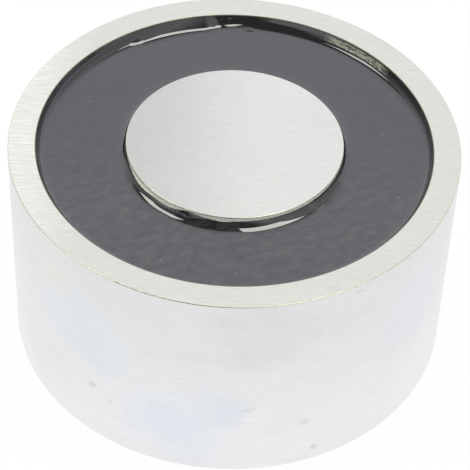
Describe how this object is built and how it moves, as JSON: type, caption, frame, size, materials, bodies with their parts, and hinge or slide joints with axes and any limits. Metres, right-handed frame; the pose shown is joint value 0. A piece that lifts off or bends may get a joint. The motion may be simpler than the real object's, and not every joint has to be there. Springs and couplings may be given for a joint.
{
  "type": "electro-permanent holding magnet",
  "caption": "Round potted holding magnet with a centre pole, an outer ring pole and a release coil, which grips steel when unpowered.",
  "frame": {"origin": "centre of the base mounting face", "axes": "+Z along the magnet's axis, from the base to the pole face; +Y towards the lead exit at the back; the picture looks from -Y"},
  "size_m": [0.09, 0.09, 0.048],
  "materials": {
    "plated_steel": "turned mild steel with bright zinc plating, and a ground pole face",
    "pole_steel": "turned mild steel with a bare ground face",
    "ferrite": "matt sintered hard ferrite",
    "spacer_plastic": "moulded natural nylon",
    "bobbin_plastic": "moulded black glass-filled nylon",
    "enamelled_wire": "wound enamelled copper wire",
    "coil_tape": "polyester insulating tape",
    "splice_sleeving": "shrunk insulating sleeve",
    "bush_plastic": "moulded black nylon",
    "casting_resin": "glossy black cast epoxy resin"
  },
  "bodies": {
    "root": {"housing": "plated_steel", "pole_core": "pole_steel", "permanent_magnet": "ferrite", "spacer_ring": "spacer_plastic", "coil_bobbin": "bobbin_plastic", "coil_winding": "enamelled_wire", "coil_tape": "coil_tape", "splice_sleeves": "splice_sleeving", "lead_bush": "bush_plastic", "potting_resin": "casting_resin"}
  },
  "joints": []
}
